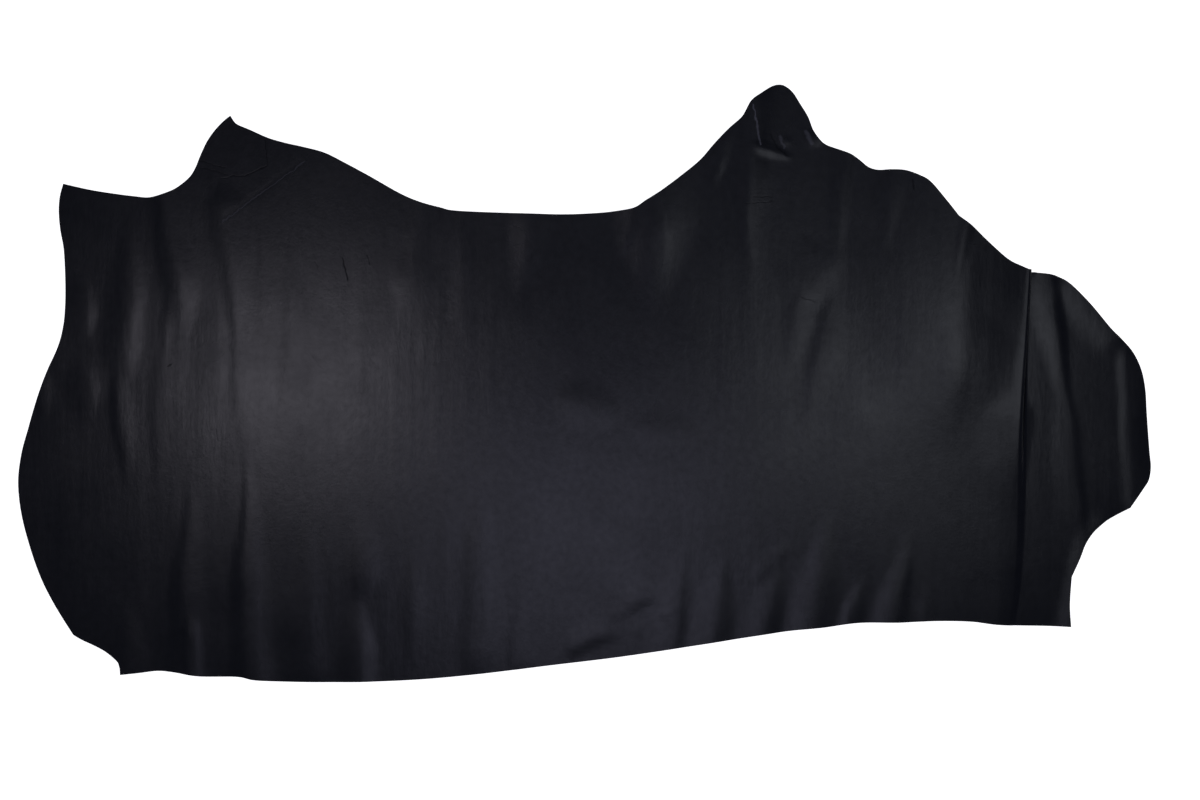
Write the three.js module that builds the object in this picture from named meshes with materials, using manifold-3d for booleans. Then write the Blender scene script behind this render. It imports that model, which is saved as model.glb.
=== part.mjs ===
// A side of cowhide leather: half a hide, split along the backbone, lying grain side up.
// The backbone cut runs along the front (-Y). The butt is at -X with the hind shank behind it,
// the belly and the fore shank are at the back (+Y), and the shoulder and neck are at +X.
// Millimetres, +Z up. The origin is on the floor, under the middle of the length and the width.
import * as THREE from "three";
import { mergeVertices } from "three/addons/utils/BufferGeometryUtils.js";
import Module from "manifold-3d";

const { lerp, clamp, degToRad, smoothstep } = THREE.MathUtils;

// Driving dimensions.
const THICKNESS = 2;
const HALF_LENGTH = 1132;
const HALF_WIDTH = 597;
const MARGIN = 16; // how far the sheet runs past the cut before it is trimmed
const LEATHER = { color: 0x15151a, roughness: 0.3, metalness: 0 };

// The cut edge, anticlockwise from the tail corner. Each stretch is one smooth curve between two
// corners and starts where the one before it ends. step is the spacing of its points.
const EDGE = [
  {
    name: "backbone",
    step: 40,
    knots: [
      [-889, -579], [-853, -575], [-819, -578], [-769, -586], [-693, -587], [-655, -594],
      [-569, -597], [-449, -597], [-329, -592], [-209, -581], [-69, -564], [71, -547],
      [211, -526], [331, -507], [411, -495], [481, -488], [547, -479], [631, -478],
      [701, -475], [771, -476], [831, -483], [921, -485], [972, -487],
    ],
  },
  { name: "neck cut", step: 30, knots: [[970, -443], [974, -387]] },
  {
    name: "throat",
    step: 20,
    knots: [[991, -349], [1001, -323], [1015, -301], [1031, -285], [1051, -270], [1091, -249]],
  },
  {
    name: "neck end",
    step: 22,
    knots: [
      [1117, -211], [1128, -193], [1132, -167], [1129, -133], [1124, -63], [1121, -13],
      [1113, 27], [1097, 61], [1075, 87], [1051, 111], [1011, 159], [971, 199], [947, 213],
      [927, 219], [893, 222],
    ],
  },
  { name: "pleat step", step: 8, knots: [[890, 226]] },
  { name: "shoulder", step: 30, knots: [[871, 234], [843, 248], [801, 285], [771, 314], [745, 334]] },
  {
    name: "fore shank",
    step: 22,
    knots: [
      [721, 365], [691, 401], [671, 414], [641, 425], [611, 427], [587, 426], [567, 432],
      [549, 447], [531, 459], [507, 468], [483, 477], [469, 489], [457, 507], [447, 533],
      [431, 559], [417, 581], [403, 593], [391, 597], [375, 594], [351, 579], [333, 565],
      [321, 543], [313, 531], [291, 512], [261, 481], [231, 447], [191, 414], [151, 384],
      [121, 365], [99, 351], [67, 345],
    ],
  },
  {
    name: "belly and flank",
    step: 36,
    knots: [
      [31, 341], [-39, 338], [-129, 340], [-253, 345], [-289, 352], [-329, 363], [-369, 380],
      [-429, 414], [-479, 441], [-519, 461], [-559, 472], [-599, 481], [-633, 491],
      [-669, 507], [-693, 517], [-701, 524], [-708, 535],
    ],
  },
  {
    name: "hind shank",
    step: 24,
    knots: [
      [-721, 525], [-739, 506], [-755, 483], [-769, 453], [-777, 433], [-789, 413],
      [-813, 393], [-835, 382], [-869, 372], [-899, 374], [-939, 379], [-989, 387],
      [-1042, 399],
    ],
  },
  {
    name: "butt",
    step: 34,
    knots: [
      [-1049, 373], [-1051, 343], [-1048, 307], [-1041, 267], [-1038, 207], [-1038, 157],
      [-1042, 115], [-1053, 73], [-1077, 19], [-1098, -41], [-1113, -93], [-1125, -137],
      [-1132, -187], [-1130, -233], [-1121, -283], [-1103, -345], [-1085, -393],
      [-1065, -433], [-1045, -467], [-1022, -503],
    ],
  },
  {
    name: "tail notch",
    step: 16,
    knots: [
      [-1005, -513], [-979, -525], [-959, -536], [-943, -548], [-932, -559], [-929, -569],
      [-928, -583],
    ],
  },
];

// Ripples left from rolling the hide up. Each row is one ridge. Its crest runs from (x0, y0) at the
// belly side to (x1, y1) nearer the backbone and bows to the east in the middle. west and east are
// the half widths of its flanks, and grow is how many times wider and higher it is at the far end.
// start and end are the lengths over which it rises from nothing and dies away again.
const TAPER = 0.4; // how narrow a ridge is at its two ends
const WAVER = 3; // how far a crest strays from its line
const RIDGE_COLUMNS = ["x0", "y0", "x1", "y1", "bow", "west", "east", "height", "grow", "start", "end"];
const RIDGES = [
  // butt
  [-1003, 233, -993, 67, 0, 34, 34, 1.15, 1, 90, 80],
  [-913, 357, -925, -33, 6, 50, 46, 1.4, 1, 200, 110],
  [-847, 400, -807, 117, 0, 34, 32, 1.2, 2.2, 10, 120],
  [-724, 410, -688, 37, 0, 50, 66, 1.3, 0.7, 60, 240],
  // flutes along the backbone behind the tail
  [-913, -413, -917, -633, 0, 36, 40, 1.2, 2, 160, 10],
  [-783, -133, -803, -633, 0, 36, 44, 1.6, 1.5, 340, 10],
  [-677, -133, -671, -633, 0, 32, 44, 1.8, 1.6, 260, 10],
  [-553, -253, -549, -633, 0, 60, 44, 1.1, 1.3, 220, 60],
  [-449, -403, -445, -633, 0, 54, 40, 2.3, 1.2, 150, 10],
  // belly
  [-99, 430, -129, 140, 0, 50, 70, 3, 0.8, 10, 200],
  [133, 560, 115, 40, 0, 96, 96, 10, 1, 10, 440],
  [-109, -27, 251, -103, 0, 70, 70, 1.2, 1, 90, 90],
  // fore shank and elbow
  [295, 520, 247, 387, 0, 26, 32, 2.2, 1, 40, 90],
  [335, 480, 325, 157, 0, 46, 56, 3.6, 1, 40, 290],
  [335, 540, 325, 147, 0, 90, 90, 3, 1, 60, 320],
  [519, 470, 499, 217, 0, 22, 28, 2.4, 1, 5, 230],
  [531, 291, 391, 151, 0, 60, 60, 1.5, 1, 60, 60],
  // puckers along the backbone at the withers
  [-59, -547, 77, -473, 0, 26, 50, 1.3, 1, 60, 60],
  [211, -303, 159, -583, 0, 60, 32, 1.3, 1.4, 180, 10],
  [291, -323, 241, -563, 0, 54, 40, 1.5, 1.4, 160, 10],
  [397, -343, 353, -543, 0, 50, 30, 1.3, 1.3, 120, 10],
  [491, -233, 449, -543, 0, 54, 54, 2.2, 1.2, 200, 10],
  [653, -273, 613, -513, 0, 48, 30, 2.1, 1.4, 200, 10],
  // shoulder swell and neck folds
  [765, 500, 705, -153, 6, 290, 190, 7, 1, 60, 380],
  [765, 500, 713, -173, 6, 80, 70, 1.2, 1, 60, 340],
  [785, 150, 779, -93, 0, 120, 100, 1.3, 1, 80, 120],
  [867, -10, 851, -293, 0, 90, 40, 1.6, 1, 60, 140],
  [931, 232, 971, -93, 0, 60, 26, 2.3, 0.8, 5, 220],
  [957, 245, 1107, 47, 0, 76, 40, 3.8, 1, 50, 70],
  [1092, 97, 1105, -263, -12, 30, 70, 1.35, 1, 60, 20],
  [1061, -253, 971, -503, -26, 38, 30, 1.1, 1, 40, 10],
  [1003, -260, 973, -600, 0, 70, 60, 5, 1, 330, 10],
].map((row) => Object.fromEntries(row.map((value, i) => [RIDGE_COLUMNS[i], value])));

// The pleat in front of the shoulder. The shoulder side rolls over a lip, turns down through the
// angle bend within reach of the pleat line, and slips under itself; the neck comes out below. lip is
// the width of the small rise before it. Each size changes from the belly edge to the backbone, and
// middle is four times what it gains halfway.
const PLEAT = {
  reach: { belly: 9, backbone: 8, middle: 12 },
  bend: { belly: 115, backbone: 25, middle: -125 },
  lip: { belly: 8, backbone: 30, middle: 60 },
  rise: { belly: 0.4, backbone: -1.2, middle: 4 },
};
const PLEAT_BELLY = new THREE.Vector2(889, 222); // where the pleat line meets the belly edge
const PLEAT_BACKBONE = new THREE.Vector2(852, -490); // and the backbone cut
const PLEAT_BOW = 120; // bends the line between them towards the neck, most near the backbone
const PLEAT_RUNOUT = 460; // how far behind the lip the raised sheet comes down to the floor
const PLEAT_TURNS = 60; // steps in the sum along the bend, a multiple of PLEAT_COLUMNS
const PLEAT_COLUMNS = 12;

// The net of points that carries the sheet: rows across the width and columns along the length.
const ROW_STEP = 48;
const BODY_COLUMNS = [
  { to: -640, step: 17 },
  { to: 120, step: 30 },
  { to: 800, step: 24 },
  { to: 889, step: 12 },
];
const NECK_COLUMN_STEP = 13;

// The outline as one closed list of points.
function edgePoints() {
  const points = [];
  let corner = EDGE.at(-1).knots.at(-1);
  for (const { step, knots } of EDGE) {
    const curve = new THREE.SplineCurve([corner, ...knots].map(([x, y]) => new THREE.Vector2(x, y)));
    const count = Math.max(1, Math.round(curve.getLength() / step));
    points.push(...curve.getSpacedPoints(count).slice(0, -1));
    corner = knots.at(-1);
  }
  return points;
}

// A ridge's height at a point: a round crest between two flanks that run out level.
function ridgeHeight(ridge, x, y) {
  const run = new THREE.Vector2(ridge.x1 - ridge.x0, ridge.y1 - ridge.y0);
  const length = run.length();
  run.divideScalar(length);
  const along = (x - ridge.x0) * run.x + (y - ridge.y0) * run.y;
  if (along <= 0 || along >= length) return 0;
  const share = along / length;
  const crest = ridge.bow * 4 * share * (1 - share);
  const east = (y - ridge.y0) * run.x - (x - ridge.x0) * run.y - crest;
  const growth = lerp(1, ridge.grow, share);
  const ends = smoothstep(along, 0, ridge.start) * smoothstep(length - along, 0, ridge.end);
  const spread = growth * lerp(TAPER, 1, ends);
  const across = east / (spread * (east < 0 ? ridge.west : ridge.east));
  if (Math.abs(across) >= 1) return 0;
  return ridge.height * growth * ends * (1 - across * across) ** 3;
}

// The height of all the ridges at a point, each crest wavering a little.
function ripples(x, y) {
  const waverX = x + WAVER * Math.sin(y / 61 + x / 170) + (WAVER / 2) * Math.sin(y / 27 - x / 83);
  const waverY = y + WAVER * Math.sin(x / 49 + y / 120);
  return RIDGES.reduce((sum, ridge) => sum + ridgeHeight(ridge, waverX, waverY), 0);
}

// The pleat's own sizes at y.
function pleatSizes(y) {
  const share = smoothstep(-y, -PLEAT_BELLY.y, -PLEAT_BACKBONE.y);
  const sizes = {};
  for (const [name, { belly, backbone, middle }] of Object.entries(PLEAT)) {
    sizes[name] = lerp(belly, backbone, share) + middle * share * (1 - share);
  }
  return sizes;
}

// The pleat's cross-section at y: points [x, z] from the lip to the foot, found by walking along the
// sheet while its direction turns down and back up. The foot is on the floor.
function pleatSection(y) {
  const { reach, bend, lip, rise } = pleatSizes(y);
  const lipAngle = Math.atan((2 * rise) / lip);
  const step = (2 * reach) / PLEAT_TURNS;
  const walked = [[0, 0]];
  for (let i = 0; i < PLEAT_TURNS; i++) {
    const t = (2 * (i + 0.5)) / PLEAT_TURNS - 1;
    const angle = lipAngle * Math.max(0, -t) ** 2 - degToRad(bend) * (1 - t * t) ** 2;
    const [x, z] = walked[i];
    walked.push([x + step * Math.cos(angle), z + step * Math.sin(angle)]);
  }
  const [width, fall] = walked.at(-1);
  const far = clamp((PLEAT_BELLY.y - y) / (PLEAT_BELLY.y - PLEAT_BACKBONE.y), 0, 1);
  const middle = lerp(PLEAT_BELLY.x, PLEAT_BACKBONE.x, far) + PLEAT_BOW * far ** 4 * (1 - far);
  const every = PLEAT_TURNS / PLEAT_COLUMNS;
  const points = walked.filter((_, i) => i % every === 0).map(([x, z]) => [middle + x - width / 2, z - fall]);
  return { points, lip, rise };
}

// One row of the net at y: points [x, z] of the flesh side from the butt to the neck.
function fleshRow(y) {
  const { points: pleat, lip, rise } = pleatSection(y);
  const [lipX, lipZ] = pleat[0];
  const footX = pleat.at(-1)[0];
  const atLip = ripples(lipX, y);
  const atFoot = ripples(footX, y);
  const row = [];
  let from = -HALF_LENGTH - MARGIN;
  const bodyEnd = BODY_COLUMNS.at(-1).to;
  const bodyScale = (lipX - from) / (bodyEnd - from);
  const start = from;
  for (const { to, step } of BODY_COLUMNS) {
    const count = Math.round((to - from) / step);
    for (let i = 0; i < count; i++) {
      const x = start + bodyScale * (lerp(from, to, i / count) - start);
      const behind = lipX - x;
      const raised = (lipZ - rise) * (1 - Math.min(1, behind / PLEAT_RUNOUT) ** 2) ** 2;
      row.push([x, ripples(x, y) + raised + rise * Math.max(0, 1 - behind / lip) ** 2]);
    }
    from = to;
  }
  pleat.forEach(([x, z], i) => {
    row.push([x, z + lerp(atLip, atFoot, smoothstep(i, 0, PLEAT_COLUMNS))]);
  });
  const neckEnd = HALF_LENGTH + MARGIN;
  const neckCount = Math.round((neckEnd - PLEAT_BELLY.x) / NECK_COLUMN_STEP);
  for (let i = 1; i <= neckCount; i++) {
    const x = lerp(footX, neckEnd, i / neckCount);
    row.push([x, ripples(x, y)]);
  }
  return row;
}

// The whole sheet before it is trimmed: the flesh side, and the grain side one thickness off it.
function sheetGeometry() {
  const rowCount = Math.ceil((2 * (HALF_WIDTH + MARGIN)) / ROW_STEP);
  const flesh = [];
  for (let j = 0; j <= rowCount; j++) {
    const y = lerp(-HALF_WIDTH - MARGIN, HALF_WIDTH + MARGIN, j / rowCount);
    flesh.push(fleshRow(y).map(([x, z]) => new THREE.Vector3(x, y, z)));
  }
  const columnCount = flesh[0].length;
  const near = (j, i) => flesh[clamp(j, 0, rowCount)][clamp(i, 0, columnCount - 1)];
  const grain = flesh.map((row, j) =>
    row.map((point, i) => {
      const alongRow = near(j, i + 1).clone().sub(near(j, i - 1));
      const acrossRow = near(j + 1, i).clone().sub(near(j - 1, i));
      const outward = alongRow.cross(acrossRow).normalize();
      return outward.multiplyScalar(THICKNESS).add(point);
    }),
  );

  const perSide = (rowCount + 1) * columnCount;
  const under = (j, i) => j * columnCount + i;
  const over = (j, i) => perSide + under(j, i);
  const index = [];
  const quad = (a, b, c, d) => index.push(a, b, c, a, c, d);
  for (let j = 0; j < rowCount; j++) {
    for (let i = 0; i < columnCount - 1; i++) {
      quad(over(j, i), over(j, i + 1), over(j + 1, i + 1), over(j + 1, i));
      quad(under(j, i), under(j + 1, i), under(j + 1, i + 1), under(j, i + 1));
    }
  }
  for (let i = 0; i < columnCount - 1; i++) {
    quad(under(0, i), under(0, i + 1), over(0, i + 1), over(0, i));
    quad(under(rowCount, i + 1), under(rowCount, i), over(rowCount, i), over(rowCount, i + 1));
  }
  for (let j = 0; j < rowCount; j++) {
    quad(under(j + 1, 0), under(j, 0), over(j, 0), over(j + 1, 0));
    quad(under(j, columnCount - 1), under(j + 1, columnCount - 1), over(j + 1, columnCount - 1), over(j, columnCount - 1));
  }
  const geometry = new THREE.BufferGeometry().setFromPoints([...flesh.flat(), ...grain.flat()]);
  return geometry.setIndex(index);
}

// A straight-sided punch of the outline, taller than every fold.
function punchGeometry() {
  const below = 10;
  const above = 80;
  const shape = new THREE.Shape(edgePoints());
  const punch = new THREE.ExtrudeGeometry(shape, { depth: below + above, bevelEnabled: false });
  punch.translate(0, 0, -below);
  punch.deleteAttribute("normal");
  punch.deleteAttribute("uv");
  return mergeVertices(punch);
}

const wasm = await Module();
wasm.setup();

function toSolid(geometry) {
  const mesh = new wasm.Mesh({
    numProp: 3,
    vertProperties: Float32Array.from(geometry.attributes.position.array),
    triVerts: Uint32Array.from(geometry.index.array),
  });
  return new wasm.Manifold(mesh);
}

function toGeometry(solid) {
  const { vertProperties, triVerts } = solid.getMesh();
  return new THREE.BufferGeometry()
    .setAttribute("position", new THREE.BufferAttribute(vertProperties, 3))
    .setIndex(new THREE.BufferAttribute(triVerts, 1));
}

// The hide is the rippled sheet trimmed by the punch.
function makeHide() {
  const trimmed = toSolid(sheetGeometry()).intersect(toSolid(punchGeometry()));
  const geometry = toGeometry(trimmed);
  geometry.computeVertexNormals();
  const hide = new THREE.Mesh(geometry, new THREE.MeshStandardMaterial(LEATHER));
  hide.name = "hide";
  return hide;
}

const part = new THREE.Group();
part.add(makeHide());

export default part;
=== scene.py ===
import math

import bmesh
import bpy
import numpy as np
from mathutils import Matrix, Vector


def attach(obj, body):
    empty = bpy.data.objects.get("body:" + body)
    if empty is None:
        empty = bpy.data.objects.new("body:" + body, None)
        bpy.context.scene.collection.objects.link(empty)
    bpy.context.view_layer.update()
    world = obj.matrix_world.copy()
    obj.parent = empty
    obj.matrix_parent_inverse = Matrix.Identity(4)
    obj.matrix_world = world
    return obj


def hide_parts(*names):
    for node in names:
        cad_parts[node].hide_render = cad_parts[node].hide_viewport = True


# A side of black cowhide leather, lying grain side up on a pale studio floor. The leather's sizes are
# in millimetres, in the CAD frame, and MM turns them to Blender's metres. The studio is in metres.
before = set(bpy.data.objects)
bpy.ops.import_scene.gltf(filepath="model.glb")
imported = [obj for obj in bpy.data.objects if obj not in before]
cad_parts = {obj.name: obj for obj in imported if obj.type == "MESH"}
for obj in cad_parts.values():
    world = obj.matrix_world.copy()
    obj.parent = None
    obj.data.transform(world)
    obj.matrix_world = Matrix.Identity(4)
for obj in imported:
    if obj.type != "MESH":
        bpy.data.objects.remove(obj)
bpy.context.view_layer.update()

MM = 0.001
HIDE = "hide"  # the CAD node, which this sheet stands for
THICKNESS = 2.0

# The cut edge, anticlockwise from the tail corner. Each stretch is one smooth curve between two
# corners and starts where the one before it ends. Its points are about EDGE_STEP apart.
EDGE_STEP = 7.0
EDGE = {
    "backbone": [
        (-889, -579), (-853, -575), (-819, -578), (-769, -586), (-693, -587), (-655, -594),
        (-569, -597), (-449, -597), (-329, -592), (-209, -581), (-69, -564), (71, -547),
        (211, -526), (331, -507), (411, -495), (481, -488), (547, -479), (631, -478),
        (701, -475), (771, -476), (831, -483), (921, -485), (972, -487),
    ],
    "neck cut": [(970, -443), (974, -387)],
    "throat": [(991, -349), (1001, -323), (1015, -301), (1031, -285), (1051, -270), (1091, -249)],
    "neck end": [
        (1117, -211), (1128, -193), (1132, -167), (1129, -133), (1124, -63), (1121, -13),
        (1113, 27), (1097, 61), (1075, 87), (1051, 111), (1011, 159), (971, 199), (947, 213),
        (927, 219), (893, 222),
    ],
    "pleat step": [(890, 226)],
    "shoulder": [(871, 234), (843, 248), (801, 285), (771, 314), (745, 334)],
    "fore shank": [
        (721, 365), (691, 401), (671, 414), (641, 425), (611, 427), (587, 426), (567, 432),
        (549, 447), (531, 459), (507, 468), (483, 477), (469, 489), (457, 507), (447, 533),
        (431, 559), (417, 581), (403, 593), (391, 597), (375, 594), (351, 579), (333, 565),
        (321, 543), (313, 531), (291, 512), (261, 481), (231, 447), (191, 414), (151, 384),
        (121, 365), (99, 351), (67, 345),
    ],
    "belly and flank": [
        (31, 341), (-39, 338), (-129, 340), (-253, 345), (-289, 352), (-329, 363), (-369, 380),
        (-429, 414), (-479, 441), (-519, 461), (-559, 472), (-599, 481), (-633, 491),
        (-669, 507), (-693, 517), (-701, 524), (-708, 535),
    ],
    "hind shank": [
        (-721, 525), (-739, 506), (-755, 483), (-769, 453), (-777, 433), (-789, 413),
        (-813, 393), (-835, 382), (-869, 372), (-899, 374), (-939, 379), (-989, 387),
        (-1042, 399),
    ],
    "butt": [
        (-1049, 373), (-1051, 343), (-1048, 307), (-1041, 267), (-1038, 207), (-1038, 157),
        (-1042, 115), (-1053, 73), (-1077, 19), (-1098, -41), (-1113, -93), (-1125, -137),
        (-1132, -187), (-1130, -233), (-1121, -283), (-1103, -345), (-1085, -393),
        (-1065, -433), (-1045, -467), (-1022, -503),
    ],
    "tail notch": [
        (-1005, -513), (-979, -525), (-959, -536), (-943, -548), (-932, -559), (-929, -569),
        (-928, -583),
    ],
}

# Ripples left from rolling the hide up. A crest runs from (x0, y0) to (x1, y1), most of them from the
# belly side towards the backbone, and its middle strays by bow to the left of that run. west and east
# are the half widths of its flanks, right and left of the run. grow is how many times wider and higher
# it is at the far end, and it rises and dies away over start and end. A negative height is a hollow.
# Some ridges run on past the cut edge.
TAPER = 0.4  # how narrow a ridge is at its two ends, as a share of its full width
RIDGE_COLUMNS = ("x0", "y0", "x1", "y1", "bow", "west", "east", "height", "grow", "start", "end")
RIDGES = [
    # butt
    (-1003, 233, -993, 67, 0, 110, 34, 1.15, 1, 90, 80),
    (-913, 357, -925, -33, 6, 60, 46, 1.35, 1, 200, 110),
    (-939, 37, -915, -233, 0, 26, 44, 0.75, 1, 80, 150),
    (-997, 50, -989, -90, 0, 80, 44, 0.9, 1, 60, 80),
    (-1087, 47, -1091, -73, 0, 24, 48, 0.9, 1, 60, 60),
    (-847, 400, -797, 87, 0, 34, 36, 1.2, 2, 10, 130),
    (-833, 187, -837, 40, 0, 18, 22, 0.3, 1, 50, 90),
    (-841, 107, -857, -253, 0, 34, 50, 0.38, 1, 120, 220),
    (-737, 167, -727, -73, 0, 60, 24, 0.4, 1, 60, 100),
    (-724, 410, -688, 37, 0, 50, 66, 1.3, 0.7, 60, 240),
    (-706, 207, -659, -333, 0, 26, 50, 0.3, 0.8, 120, 260),
    (-589, 287, -589, -93, 0, 30, 50, 0.5, 1, 160, 180),
    (-641, 227, -631, -13, 0, 20, 30, 0.14, 1, 80, 120),
    (-571, 247, -565, 7, 0, 24, 24, 0.14, 1, 60, 120),
    (-457, 187, -455, -53, 0, 22, 34, 0.2, 1, 50, 120),
    # flutes along the backbone behind the tail
    (-913, -413, -917, -633, 0, 36, 40, 1.2, 2, 160, 10),
    (-783, -133, -803, -633, 0, 36, 44, 1.6, 1.5, 340, 10),
    (-789, -453, -789, -633, 0, 24, 36, 1.3, 1, 60, 10),
    (-677, -133, -671, -633, 0, 32, 44, 1.8, 1.6, 260, 10),
    (-553, -253, -549, -633, 0, 60, 44, 1.1, 1.3, 220, 60),
    (-455, -233, -449, -443, 0, 30, 70, 1.2, 1, 140, 60),
    (-449, -403, -445, -633, 0, 54, 40, 2.3, 1.2, 150, 10),
    (-345, -313, -341, -573, 0, 30, 40, 0.6, 1, 130, 120),
    (-205, -193, -209, -613, 0, 50, 40, 1.1, 1.3, 160, 80),
    (-129, -353, -133, -613, 0, 26, 40, 0.6, 1.4, 140, 60),
    # belly
    (-475, 307, -461, -103, 0, 30, 40, -0.15, 1, 110, 200),
    (-329, 400, -345, 217, 0, 30, 60, 0.9, 1, 10, 90),
    (-333, 310, -357, 110, 0, 56, 90, 1.2, 1, 110, 100),
    (-245, 397, -231, 17, 0, 32, 36, 0.3, 1, 100, 160),
    (-99, 430, -129, 140, 0, 62, 70, 3.2, 0.8, 10, 200),
    (-125, 200, -139, 0, 0, 40, 50, 0.25, 1, 80, 120),
    (133, 560, 129, 120, 0, 100, 120, 6, 1, 10, 240),
    (117, 400, 67, 237, 0, 60, 16, 1.2, 1, 10, 60),
    (139, 420, 163, 237, 8, 60, 18, 0.9, 1, 10, 80),
    (-79, -31, 81, -61, 0, 66, 66, 1.2, 1, 60, 60),
    (91, -83, 241, -107, 0, 56, 56, 0.7, 1, 50, 60),
    # fore shank and elbow
    (299, 560, 251, 373, 0, 40, 32, 2.1, 1, 80, 90),
    (323, 477, 423, 445, 4, 34, 15, 2.2, 0.45, 44, 34),
    (391, 489, 413, 479, 0, 16, 12, 0.9, 1, 8, 10),
    (433, 499, 481, 489, 0, 30, 18, 1.5, 1, 18, 20),
    (337, 640, 327, 217, 0, 46, 50, 3, 1, 10, 260),
    (335, 640, 325, 147, 0, 100, 90, 2.4, 1, 10, 340),
    (527, 480, 507, 217, 0, 50, 18, 1.5, 1, 5, 200),
    (523, 271, 401, 141, 0, 110, 56, 1.2, 1, 60, 60),
    (431, 187, 405, 7, 0, 44, 40, 0.9, 1, 60, 130),
    (499, 207, 445, -83, 0, 32, 70, 0.9, 1, 120, 160),
    (623, 457, 599, 247, 0, 50, 34, 1.2, 1, 20, 150),
    (765, 337, 735, 167, 0, 20, 24, 1.3, 1, 8, 150),
    # puckers along the backbone at the withers
    (-51, -547, 81, -499, 16, 26, 44, 1.3, 1, 40, 50),
    (67, -471, 171, -429, 16, 22, 50, 1, 1, 40, 40),
    (25, -479, 93, -463, 6, 20, 34, 0.5, 1, 30, 30),
    (143, -471, 191, -459, 6, 14, 20, 0.4, 1, 16, 16),
    (79, -509, 129, -489, 4, 16, 24, 0.4, 1, 20, 20),
    (211, -303, 159, -583, 0, 60, 32, 1.3, 1.4, 180, 10),
    (291, -323, 241, -563, 0, 54, 40, 1.5, 1.4, 160, 10),
    (397, -343, 353, -543, 0, 50, 30, 1.3, 1.3, 120, 10),
    (425, -317, 333, -407, 0, 36, 18, 0.5, 1, 40, 40),
    (491, -233, 449, -543, 0, 54, 54, 2.2, 1.2, 200, 10),
    (559, -373, 525, -513, 0, 28, 30, 1.2, 1.3, 80, 10),
    (653, -273, 613, -513, 0, 48, 30, 2.1, 1.4, 200, 10),
    (685, -373, 677, -523, 0, 18, 26, 0.6, 1.2, 90, 10),
    # shoulder swell and neck folds
    (765, 500, 705, -153, 6, 290, 190, 7, 1, 60, 380),
    (765, 500, 713, -173, 6, 80, 70, 1.2, 1, 60, 340),
    (785, 150, 779, -93, 0, 120, 100, 1.3, 1, 80, 120),
    (867, -10, 851, -293, 0, 90, 40, 1.6, 1, 60, 140),
    (931, 232, 971, -93, 0, 60, 26, 2.1, 0.8, 5, 220),
    (959, 7, 1001, -333, 0, 50, 22, 0.8, 1, 120, 80),
    (957, 245, 1107, 47, 0, 76, 40, 3.1, 1, 50, 70),
    (1092, 97, 1105, -263, -12, 30, 70, 1.35, 1, 60, 20),
    (1061, -253, 971, -503, -26, 38, 30, 0.9, 1, 40, 10),
    (1003, -260, 973, -600, 0, 70, 60, 5, 1, 330, 10),
]

# Every crest wavers a little: by reach, in waves about six times x_span and y_span long. A negative
# span slants its wave the other way.
WAVER_COLUMNS = ("reach", "x_span", "y_span")
WAVERS_IN_X = [(3, 170, 61), (1.5, -83, 27)]
WAVERS_IN_Y = [(3, 49, 120)]

# Creases deep enough for the sheet, with the columns of a ridge, pressed into the grain side alone.
CREASES = [
    (-725, 327, -561, 447, 0, 6, 6, -0.22, 1, 20, 20),
]

# Marks too fine for the sheet, each from (x0, y0) to (x1, y1), which fade out over half_width. Scars
# are healed cuts and tight wrinkles that take the shine off. The second table is a painted highlight:
# pale lines painted into the black along fold crests and a crease, where light catches them. strength
# is 1 for a mark that shows fully.
MARK_COLUMNS = ("x0", "y0", "x1", "y1", "half_width", "strength")
SCARS = [
    # butt and flank
    (-485, 253, -477, 227, 2.4, 0.8), (-479, 231, -473, 207, 2.4, 0.8), (-433, 257, -429, 239, 2, 0.6),
    (-538, 243, -533, 229, 1.8, 0.4), (-834, 34, -826, 39, 2.2, 0.8), (-737, -91, -733, -115, 1.5, 0.3),
    (-303, 183, -259, 163, 1.4, 0.15), (-559, 77, -509, 7, 2, 0.14),
    # hind shank
    (-725, 411, -679, 415, 2, 0.6), (-679, 415, -633, 435, 2, 0.6), (-639, 487, -633, 435, 2, 0.5),
    (-775, 447, -719, 431, 2, 0.5), (-769, 431, -709, 417, 2, 0.4),
    # fore shank, elbow and shoulder
    (371, 497, 385, 471, 3, 0.6), (385, 471, 407, 455, 2.4, 0.6), (341, 373, 375, 373, 2, 0.5),
    (321, 359, 381, 365, 2, 0.5), (431, 173, 459, 163, 2, 0.45), (653, 407, 657, 387, 3.4, 0.6),
    (855, 67, 801, 17, 1.8, 0.12), (671, -19, 655, -47, 1.6, 0.15),
]
# Painted highlights: pale lines painted along fold crests and a crease, where light catches them.
PAINTED_FOLD_HIGHLIGHTS = [
    (337, 557, 345, 517, 2.6, 0.7), (345, 517, 351, 477, 3.4, 0.6), (391, 493, 399, 471, 4, 0.35),
    (443, 501, 453, 479, 6, 0.4), (-725, 322, -561, 442, 2, 0.25),
]

# The pleat in front of the shoulder. The shoulder side rolls over a lip, turns down through bend
# degrees within reach of the pleat line, and slips under itself, and the neck comes out below. lip and
# rise are the width and height of the small rise before it. Each size is given at the belly edge, at
# the backbone, and as four times what it gains halfway between them.
PLEAT = {
    "reach": (9, 8, 12),
    "bend": (115, 25, -125),
    "lip": (8, 30, 60),
    "rise": (0.4, -1.2, 4),
}
PLEAT_BELLY_Y = 222
PLEAT_BACKBONE_Y = -490
PLEAT_BELLY_X = 889
PLEAT_BACKBONE_X = 852
PLEAT_BOW = 120  # how strongly the line between them bends towards the neck, most near the backbone
PLEAT_BOW_POWER = 4
PLEAT_RUNOUT = 460  # how far behind the lip the raised sheet comes down to the floor
PLEAT_TURNS = 40  # steps in the sum along the bend

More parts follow.
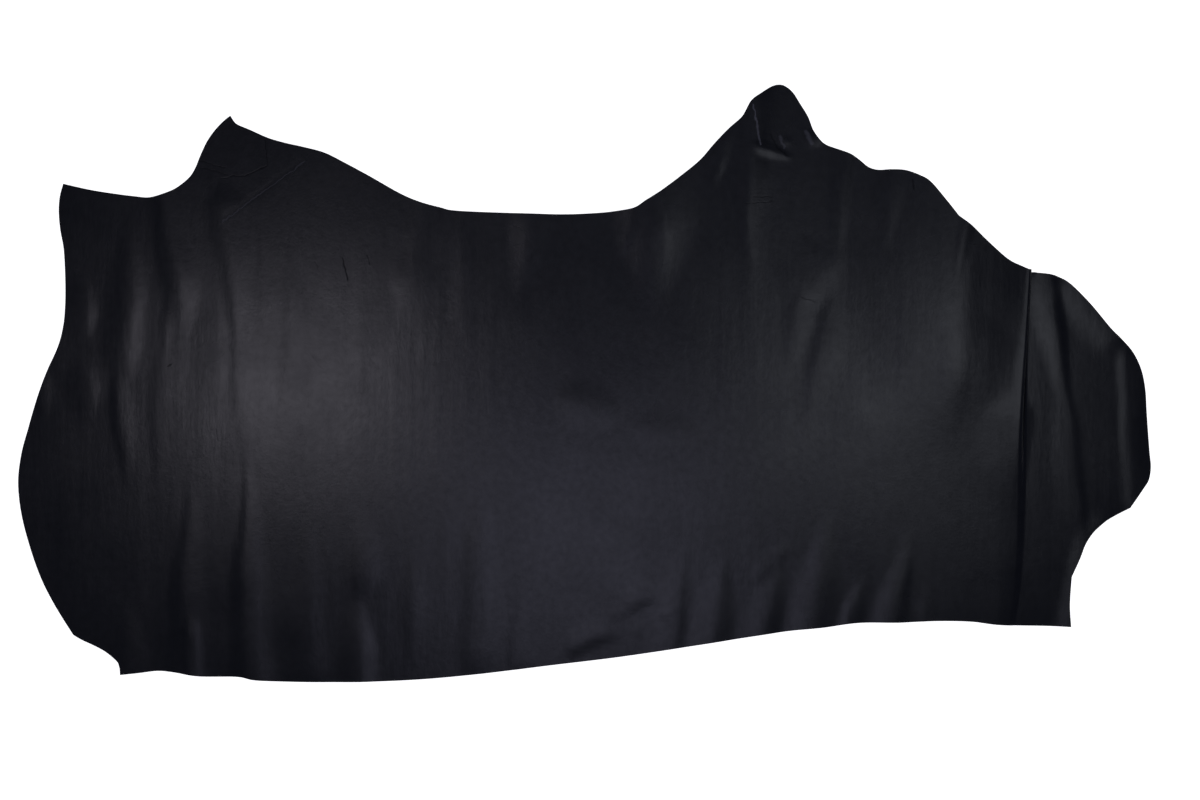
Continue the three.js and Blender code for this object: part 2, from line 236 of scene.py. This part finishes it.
# Where the sheet is divided: from the butt in columns and from the backbone in rows, each zone with
# its far limit and its pitch. The columns are closest over the pleat and the rows over the shanks.
BUTT_END = -1140
BACKBONE_SIDE = -610
COLUMN_PITCH = [(-560, 4.6), (150, 7.5), (760, 5.6), (882, 4.4), (935, 1.7), (1200, 4.4)]
ROW_PITCH = [(280, 10.5), (620, 5.2)]
NEAR_POINTS = 0.05  # a division this close to a point of the sheet runs through it
NUDGE = 0.5  # how far apart, either way, the places are that give the sheet's slope

# The sheet's material slots. Its finishes are added in this order.
GRAIN = 0
FLESH = 1
CUT = 2
MOSTLY_LEVEL = 0.5  # a face of the flat sheet whose normal rises less than this is on the cut edge


def eased(value, start, end):
    """A smooth step from 0 at start to 1 at end."""
    t = np.clip((value - start) / (end - start), 0, 1)
    return t * t * (3 - 2 * t)


def spline(knots, step):
    """Points along a smooth curve through the knots, from the first up to but not at the last."""
    knots = [Vector(k) for k in knots]
    padded = [knots[0], *knots, knots[-1]]
    points = []
    for a, b, c, d in zip(padded, padded[1:], padded[2:], padded[3:]):
        count = max(1, round((c - b).length / step))
        for i in range(count):
            t = i / count
            tangent_b = (c - a) / 2
            tangent_c = (d - b) / 2
            rise = 3 * (c - b) - 2 * tangent_b - tangent_c
            fall = 2 * (b - c) + tangent_b + tangent_c
            points.append(b + tangent_b * t + rise * t * t + fall * t * t * t)
    return points


def edge_points():
    """The whole cut edge as it lies, in millimetres."""
    points = []
    corner = EDGE["tail notch"][-1]
    for knots in EDGE.values():
        points += spline([corner, *knots], EDGE_STEP)
        corner = knots[-1]
    return np.array(points)


def ridge_height(ridge, x, y):
    """The height that one ridge or crease gives at the points x, y."""
    r = dict(zip(RIDGE_COLUMNS, ridge))
    run = np.array([r["x1"] - r["x0"], r["y1"] - r["y0"]], float)
    length = np.hypot(*run)
    run /= length
    along = (x - r["x0"]) * run[0] + (y - r["y0"]) * run[1]
    share = np.clip(along / length, 0, 1)
    crest = r["bow"] * 4 * share * (1 - share)
    east = (y - r["y0"]) * run[0] - (x - r["x0"]) * run[1] - crest
    growth = 1 + (r["grow"] - 1) * share
    ends = eased(along, 0, r["start"]) * eased(length - along, 0, r["end"])
    spread = growth * (TAPER + (1 - TAPER) * ends)
    across = np.clip(east / (spread * np.where(east < 0, r["west"], r["east"])), -1, 1)
    return r["height"] * growth * ends * (1 - across**2) ** 3


def wavered(table, place, x, y):
    """The place, which is x or y, moved by the wavers of a table at the points x, y."""
    for row in table:
        w = dict(zip(WAVER_COLUMNS, row))
        place = place + w["reach"] * np.sin(y / w["y_span"] + x / w["x_span"])
    return place


def relief(table, x, y):
    """The height that a whole table of ridges or creases gives at the points x, y."""
    moved_x = wavered(WAVERS_IN_X, x, x, y)
    moved_y = wavered(WAVERS_IN_Y, y, x, y)
    return sum(ridge_height(row, moved_x, moved_y) for row in table)


def pleat_sizes(y):
    """The pleat's sizes at each y."""
    share = eased(-y, -PLEAT_BELLY_Y, -PLEAT_BACKBONE_Y)
    sizes = {}
    for name, (belly, backbone, middle) in PLEAT.items():
        sizes[name] = belly + (backbone - belly) * share + middle * share * (1 - share)
    return sizes


def walk_pleat(sizes, share):
    """Walks from the lip over that share of the pleat's cloth: the distance gone along X and up Z."""
    lip_angle = np.arctan(2 * sizes["rise"] / sizes["lip"])
    x = np.zeros_like(share)
    z = np.zeros_like(share)
    step = 2 * sizes["reach"] * share / PLEAT_TURNS
    for i in range(PLEAT_TURNS):
        t = 2 * share * (i + 0.5) / PLEAT_TURNS - 1
        angle = lip_angle * np.maximum(0, -t) ** 2 - np.radians(sizes["bend"]) * (1 - t * t) ** 2
        x += step * np.cos(angle)
        z += step * np.sin(angle)
    return x, z


def pleat_frame(y):
    """The pleat's sizes at y, with where its lip and its foot are and how high the lip is."""
    sizes = pleat_sizes(y)
    width, rise = walk_pleat(sizes, np.ones_like(y))
    far = np.clip((PLEAT_BELLY_Y - y) / (PLEAT_BELLY_Y - PLEAT_BACKBONE_Y), 0, 1)
    bow = PLEAT_BOW * far**PLEAT_BOW_POWER * (1 - far)
    middle = PLEAT_BELLY_X + (PLEAT_BACKBONE_X - PLEAT_BELLY_X) * far + bow
    return {**sizes, "lip_x": middle - width / 2, "foot_x": middle + width / 2, "lip_z": -rise}


def unfold(x, y):
    """The flat column of each laid point: the cloth's distance from the lip, along its own row."""
    p = pleat_frame(y)
    cloth = 2 * p["reach"]
    inside = (x - p["lip_x"]) / (p["foot_x"] - p["lip_x"]) * cloth
    beyond = np.where(x > p["foot_x"], x - p["foot_x"] + cloth, inside)
    return np.where(x < p["lip_x"], x - p["lip_x"], beyond) + PLEAT_BELLY_X


def lay(flat, y):
    """Where the flesh side lies: x and z for each flat column and row."""
    p = pleat_frame(y)
    cloth = 2 * p["reach"]
    past = flat - PLEAT_BELLY_X
    share = np.clip(past / cloth, 0, 1)
    walked_x, walked_z = walk_pleat(p, share)
    behind = np.maximum(0, -past)
    x = p["lip_x"] - behind + walked_x + np.maximum(0, past - cloth)
    raised = (p["lip_z"] - p["rise"]) * (1 - np.clip(behind / PLEAT_RUNOUT, 0, 1) ** 2) ** 2
    lip = p["rise"] * np.clip(1 - behind / p["lip"], 0, 1) ** 2
    body = raised + lip + walked_z
    at_lip = relief(RIDGES, p["lip_x"], y)
    at_foot = relief(RIDGES, p["foot_x"], y)
    under_pleat = at_lip + (at_foot - at_lip) * eased(share, 0, 1)
    inside = (past > 0) & (past < cloth)
    ripple = np.where(inside, under_pleat, relief(RIDGES, x, y))
    z = np.where(past < cloth, body, 0) + ripple
    return x, z


def surface(flat, y):
    """Points of the flesh side and the unit normals that point out of the grain side."""
    def point(f, v):
        x, z = lay(f, v)
        return np.stack([x, v, z], axis=1)

    here = point(flat, y)
    along = point(flat + NUDGE, y) - point(flat - NUDGE, y)
    across = point(flat, y + NUDGE) - point(flat, y - NUDGE)
    normal = np.cross(along, across)
    normal /= np.linalg.norm(normal, axis=1)[:, None]
    return here, normal


def cuts(start, zones):
    """Evenly spaced places from start through the zones, each a limit and a pitch."""
    places = []
    here = start
    for limit, pitch in zones:
        count = max(1, round((limit - here) / pitch))
        places += [here + (limit - here) * i / count for i in range(count)]
        here = limit
    return places


def slice_sheet(bm, places, normal):
    """Divides the flat sheet with a straight cut at each of the places along the normal."""
    for place in places:
        bmesh.ops.bisect_plane(
            bm,
            geom=bm.verts[:] + bm.edges[:] + bm.faces[:],
            dist=NEAR_POINTS,
            plane_co=Vector(normal) * place,
            plane_no=normal,
        )


def make_hide():
    """The sheet is drawn flat in millimetres, sliced, given its thickness and then laid in its folds."""
    edge = edge_points()
    flat_x = unfold(edge[:, 0], edge[:, 1])
    bm = bmesh.new()
    bm.faces.new([bm.verts.new((x, y, 0)) for x, y in zip(flat_x, edge[:, 1])])
    slice_sheet(bm, cuts(BUTT_END, COLUMN_PITCH), (1, 0, 0))
    slice_sheet(bm, cuts(BACKBONE_SIDE, ROW_PITCH), (0, 1, 0))
    bmesh.ops.solidify(bm, geom=bm.faces[:], thickness=-THICKNESS)
    bmesh.ops.recalc_face_normals(bm, faces=bm.faces[:])

    flat = np.array([v.co for v in bm.verts])
    is_grain = flat[:, 2] > THICKNESS / 2
    here, normal = surface(flat[:, 0], flat[:, 1])
    depth = np.where(is_grain, THICKNESS + relief(CREASES, here[:, 0], here[:, 1]), 0)
    laid = (here + normal * depth[:, None]) * MM
    for face in bm.faces:
        face.smooth = True
        up = face.normal.z
        face.material_index = GRAIN if up > MOSTLY_LEVEL else FLESH if up < -MOSTLY_LEVEL else CUT
    for edge_line in bm.edges:
        kinds = {face.material_index for face in edge_line.link_faces}
        edge_line.smooth = len(kinds) == 1
    for vert, place in zip(bm.verts, laid):
        vert.co = place

    mesh = bpy.data.meshes.new("leather_side")
    bm.to_mesh(mesh)
    bm.free()
    piece = bpy.data.objects.new("leather_side", mesh)
    bpy.context.scene.collection.objects.link(piece)
    return piece


# The leather's patterns, each with its real spacing and relief in millimetres. Two spacings are for
# along the hide and across it.
PEBBLE = 5  # drawn coarser than the real pores, about 1 mm apart, so that it shows
PEBBLE_RELIEF = 0.09
FIBRES = (9, 50)  # bundles of fibres, longest from belly to backbone, drawn coarser than the real ones
FIBRES_RELIEF = 0.1
DRAG = (40, 400)  # wide faint lines where the wet hide was stretched
DRAG_RELIEF = 0.4
SCAR_DEPTH = 0.12
GLOSS_PATCH = 14  # from one patch of tight or loose fibres to the next
GLOSS_CLOUD = 120  # from one part of the hide to another
STRAY = 4  # how far the line of a mark strays at most
STRAY_EVERY = 12

# The grain's gloss and roughness, each least and most, and the gloss left in a scar. A patchy noise
# stays mostly within one span and a cloudy one well within the other.
GLOSS = (0.44, 0.6)
SCAR_GLOSS = 0.05
ROUGHNESS = (0.21, 0.3)
PATCHY_SPAN = (0.2, 0.8)
CLOUDY_SPAN = (0.1, 0.9)

# The colour sockets of a Mix node go by number.
MIX_FIRST = 6
MIX_SECOND = 7
MIX_COLOUR = 2


def per_metre(spacing):
    """How many times a pattern with a spacing in millimetres repeats in a metre."""
    return 1 / (spacing * MM)


def colour(code):
    """An sRGB hex colour as linear RGBA."""
    channels = [int(code[i:i + 2], 16) / 255 for i in (1, 3, 5)]
    linear = [c / 12.92 if c <= 0.04045 else ((c + 0.055) / 1.055) ** 2.4 for c in channels]
    return (*linear, 1)


def add(tree, kind, links=None, **settings):
    """Adds a node. A link's value is a socket to join or a plain value to set."""
    node = tree.nodes.new(kind)
    for name, value in settings.items():
        setattr(node, name, value)
    for socket, value in (links or {}).items():
        if isinstance(value, bpy.types.NodeSocket):
            tree.links.new(value, node.inputs[socket])
        else:
            node.inputs[socket].default_value = value
    return node


def new_material(name):
    """An empty node material and its tree."""
    material = bpy.data.materials.new(name)
    material.use_nodes = True
    material.node_tree.nodes.clear()
    return material, material.node_tree


def marks(tree, place, table):
    """How strongly the marks of a table show at each place, from 0 to 1: the strongest one counts."""
    strongest = None
    for row in table:
        m = dict(zip(MARK_COLUMNS, row))
        start = Vector((m["x0"], m["y0"], 0)) * MM
        run = Vector((m["x1"], m["y1"], 0)) * MM - start
        off = add(tree, "ShaderNodeVectorMath", {0: place, 1: start}, operation="SUBTRACT")
        along = add(tree, "ShaderNodeVectorMath", {
            0: off.outputs["Vector"], 1: run / run.length_squared,
        }, operation="DOT_PRODUCT")
        share = add(tree, "ShaderNodeClamp", {"Value": along.outputs["Value"]})
        nearest = add(tree, "ShaderNodeVectorMath", {
            0: run, "Scale": share.outputs["Result"],
        }, operation="SCALE")
        gap = add(tree, "ShaderNodeVectorMath", {
            0: off.outputs["Vector"], 1: nearest.outputs["Vector"],
        }, operation="DISTANCE")
        shown = add(tree, "ShaderNodeMapRange", {
            "Value": gap.outputs["Value"], "From Min": 0.0, "From Max": m["half_width"] * MM,
            "To Min": m["strength"], "To Max": 0.0,
        }, interpolation_type="SMOOTHSTEP").outputs["Result"]
        if strongest is None:
            strongest = shown
        else:
            both = add(tree, "ShaderNodeMath", {0: strongest, 1: shown}, operation="MAXIMUM")
            strongest = both.outputs["Value"]
    return strongest


def grain_leather():
    # Full-grain cowhide, dyed black in a drum and pressed smooth under a hot plate. The eye sees a deep
    # black with a soft semi-gloss: lamps show as wide pale patches without a border, which a fine
    # pebble blurs and faint lines towards the backbone draw out. Scars and tight wrinkles stay matt.
    material, tree = new_material("black full-grain cowhide, drum dyed and plated")
    place = add(tree, "ShaderNodeTexCoord").outputs["Object"]

    # The marks lie on the sheet seen from above, so their places leave the height out.
    wander = add(tree, "ShaderNodeTexNoise", {
        "Vector": place, "Scale": per_metre(STRAY_EVERY), "Detail": 1.0,
    })
    level = add(tree, "ShaderNodeVectorMath", {
        0: place, 1: (1, 1, 0), 2: (-STRAY * MM, -STRAY * MM, 0),
    }, operation="MULTIPLY_ADD")
    marked = add(tree, "ShaderNodeVectorMath", {
        0: wander.outputs["Color"], 1: (2 * STRAY * MM, 2 * STRAY * MM, 0), 2: level.outputs["Vector"],
    }, operation="MULTIPLY_ADD").outputs["Vector"]
    scars = marks(tree, marked, SCARS)
    # Where the pale painted highlights along the folds show.
    painted_highlight = marks(tree, marked, PAINTED_FOLD_HIGHLIGHTS)

    # Gloss: a little different from patch to patch, and nearly gone in the scars.
    mottle = add(tree, "ShaderNodeTexNoise", {
        "Vector": place, "Scale": per_metre(GLOSS_PATCH), "Detail": 3.0,
    })
    shine = add(tree, "ShaderNodeMapRange", {
        "Value": mottle.outputs["Fac"], "From Min": PATCHY_SPAN[0], "From Max": PATCHY_SPAN[1],
        "To Min": GLOSS[0], "To Max": GLOSS[1],
    })
    dulled = add(tree, "ShaderNodeMapRange", {
        "Value": scars, "To Min": shine.outputs["Result"], "To Max": SCAR_GLOSS,
    })
    cloud = add(tree, "ShaderNodeTexNoise", {
        "Vector": place, "Scale": per_metre(GLOSS_CLOUD), "Detail": 1.0,
    })
    rough = add(tree, "ShaderNodeMapRange", {
        "Value": cloud.outputs["Fac"], "From Min": CLOUDY_SPAN[0], "From Max": CLOUDY_SPAN[1],
        "To Min": ROUGHNESS[0], "To Max": ROUGHNESS[1],
    })

    # Relief: the scars are cut in, and the pebble, the fibres and the drag lines lie over them.
    pebble = add(tree, "ShaderNodeTexNoise", {
        "Vector": place, "Scale": per_metre(PEBBLE), "Detail": 3.0,
    })
    fibre_run = add(tree, "ShaderNodeMapping", {
        "Vector": place, "Scale": (per_metre(FIBRES[0]), per_metre(FIBRES[1]), 0),
    })
    fibres = add(tree, "ShaderNodeTexNoise", {
        "Vector": fibre_run.outputs["Vector"], "Scale": 1.0, "Detail": 2.0,
    })
    drag_run = add(tree, "ShaderNodeMapping", {
        "Vector": place, "Scale": (per_metre(DRAG[0]), per_metre(DRAG[1]), 0),
    })
    drag = add(tree, "ShaderNodeTexNoise", {
        "Vector": drag_run.outputs["Vector"], "Scale": 1.0, "Detail": 1.0,
    })
    relief_so_far = add(tree, "ShaderNodeBump", {"Height": scars, "Distance": SCAR_DEPTH * MM}, invert=True)
    for pattern, height in ((pebble, PEBBLE_RELIEF), (fibres, FIBRES_RELIEF), (drag, DRAG_RELIEF)):
        relief_so_far = add(tree, "ShaderNodeBump", {
            "Height": pattern.outputs["Fac"], "Distance": height * MM,
            "Normal": relief_so_far.outputs["Normal"],
        })

    # The black dye, lightened along the folds into a painted highlight.
    dye_and_painted_highlight = add(tree, "ShaderNodeMix", {
        "Factor": painted_highlight, MIX_FIRST: colour("#0a0a0c"), MIX_SECOND: colour("#5c5c66"),
    }, data_type="RGBA")
    shader = add(tree, "ShaderNodeBsdfPrincipled", {
        "Base Color": dye_and_painted_highlight.outputs[MIX_COLOUR], "Roughness": rough.outputs["Result"], "IOR": 1.5,
        "Specular IOR Level": dulled.outputs["Result"], "Normal": relief_so_far.outputs["Normal"],
    })
    add(tree, "ShaderNodeOutputMaterial", {"Surface": shader.outputs["BSDF"]})
    return material


def flesh_suede():
    # The side towards the flesh, split level and buffed to a short nap: dark grey and quite matt.
    material, tree = new_material("dyed flesh side, split and buffed")
    shader = add(tree, "ShaderNodeBsdfPrincipled", {"Base Color": colour("#26262a"), "Roughness": 0.95})
    add(tree, "ShaderNodeOutputMaterial", {"Surface": shader.outputs["BSDF"]})
    return material


def cut_edge():
    # The thickness of the leather where the knife went, dyed through and left raw: a dull thin line.
    material, tree = new_material("raw cut edge of dyed leather")
    shader = add(tree, "ShaderNodeBsdfPrincipled", {"Base Color": colour("#1c1c1f"), "Roughness": 0.85})
    add(tree, "ShaderNodeOutputMaterial", {"Surface": shader.outputs["BSDF"]})
    return material


def floor_paint():
    # Matt white paint. It shines by itself too, so the eye sees plain white, with no border or shadow.
    material, tree = new_material("matt white painted floor")
    shader = add(tree, "ShaderNodeBsdfPrincipled", {
        "Base Color": colour("#f4f4f4"), "Roughness": 0.9,
        "Emission Color": colour("#ffffff"), "Emission Strength": 1.0,
    })
    add(tree, "ShaderNodeOutputMaterial", {"Surface": shader.outputs["BSDF"]})
    return material


# The studio, in metres.
VIEW_WIDTH = 2.4  # how much of the floor the picture takes in
CAMERA_AT = Vector((0.031, -0.0334, 3.5))  # straight above the middle of the view
FLOOR_SIZE = 120
FLOOR_DROP = 0.0005  # keeps the floor clear of the flesh side
WALL_STARTS = 0.45  # the room turns pale where a direction points this much to the front or back
WALL_IS_FULL = 0.8
# Soft panels level with the camera, facing straight down, which the glossy sheet mirrors.
PANELS = [
    # name, centre, size, radiance, colour
    ("left softbox", (-1.17, 0.03, 3.5), (0.8, 0.62), 2.68, "#f6f1ff"),
    ("right softbox", (1.19, 0.02, 3.5), (0.9, 0.8), 1.36, "#f0f4ff"),
    ("front bounce", (-0.03, -0.6, 3.5), (1.2, 1.01), 0.97, "#e2e1ff"),
    ("back bounce", (0.3, 1.0, 3.5), (1.8, 0.8), 0.13, "#e4e8ff"),
]


def lay_floor():
    bm = bmesh.new()
    bmesh.ops.create_grid(bm, x_segments=1, y_segments=1, size=FLOOR_SIZE / 2)
    mesh = bpy.data.meshes.new("floor")
    bm.to_mesh(mesh)
    bm.free()
    floor = bpy.data.objects.new("floor", mesh)
    bpy.context.scene.collection.objects.link(floor)
    floor.location.z = -FLOOR_DROP
    mesh.materials.append(floor_paint())


def darken_room():
    """The room: dark above and at both ends, with pale walls low down in front and behind.

    The sheet mirrors the dark part from overhead and the walls in a low view.
    """
    world = bpy.data.worlds.new("dark studio")
    bpy.context.scene.world = world
    world.use_nodes = True
    tree = world.node_tree
    tree.nodes.clear()
    way = add(tree, "ShaderNodeTexCoord").outputs["Generated"]
    split = add(tree, "ShaderNodeSeparateXYZ", {"Vector": way})
    sideways = add(tree, "ShaderNodeMath", {0: split.outputs["Y"]}, operation="ABSOLUTE")
    wall = add(tree, "ShaderNodeMapRange", {
        "Value": sideways.outputs["Value"], "From Min": WALL_STARTS, "From Max": WALL_IS_FULL,
    }, interpolation_type="SMOOTHSTEP")
    shade = add(tree, "ShaderNodeMix", {
        "Factor": wall.outputs["Result"], MIX_FIRST: colour("#3c4154"), MIX_SECOND: colour("#e2e2e6"),
    }, data_type="RGBA")
    sky = add(tree, "ShaderNodeBackground", {"Color": shade.outputs[MIX_COLOUR], "Strength": 1.0})
    add(tree, "ShaderNodeOutputWorld", {"Surface": sky.outputs["Background"]})


def hang_panels():
    for name, centre, size, radiance, tint in PANELS:
        light = bpy.data.lights.new(name, "AREA")
        light.shape = "RECTANGLE"
        light.size, light.size_y = size
        light.energy = radiance * math.pi * size[0] * size[1]  # so that it shines at that radiance
        light.color = colour(tint)[:3]
        lamp = bpy.data.objects.new(name, light)
        lamp.location = centre
        lamp.visible_camera = False
        bpy.context.scene.collection.objects.link(lamp)


def place_camera():
    """The camera looks straight down, with VIEW_WIDTH of the floor across the picture."""
    camera = bpy.data.cameras.new("camera")
    camera.lens = camera.sensor_width * CAMERA_AT.z / VIEW_WIDTH
    eye = bpy.data.objects.new("camera", camera)
    eye.location = CAMERA_AT
    bpy.context.scene.collection.objects.link(eye)
    bpy.context.scene.camera = eye


hide = make_hide()
for finish in (grain_leather(), flesh_suede(), cut_edge()):
    hide.data.materials.append(finish)
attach(hide, "root")
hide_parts(HIDE)

bpy.context.scene.view_settings.view_transform = "Standard"
lay_floor()
darken_room()
hang_panels()
place_camera()
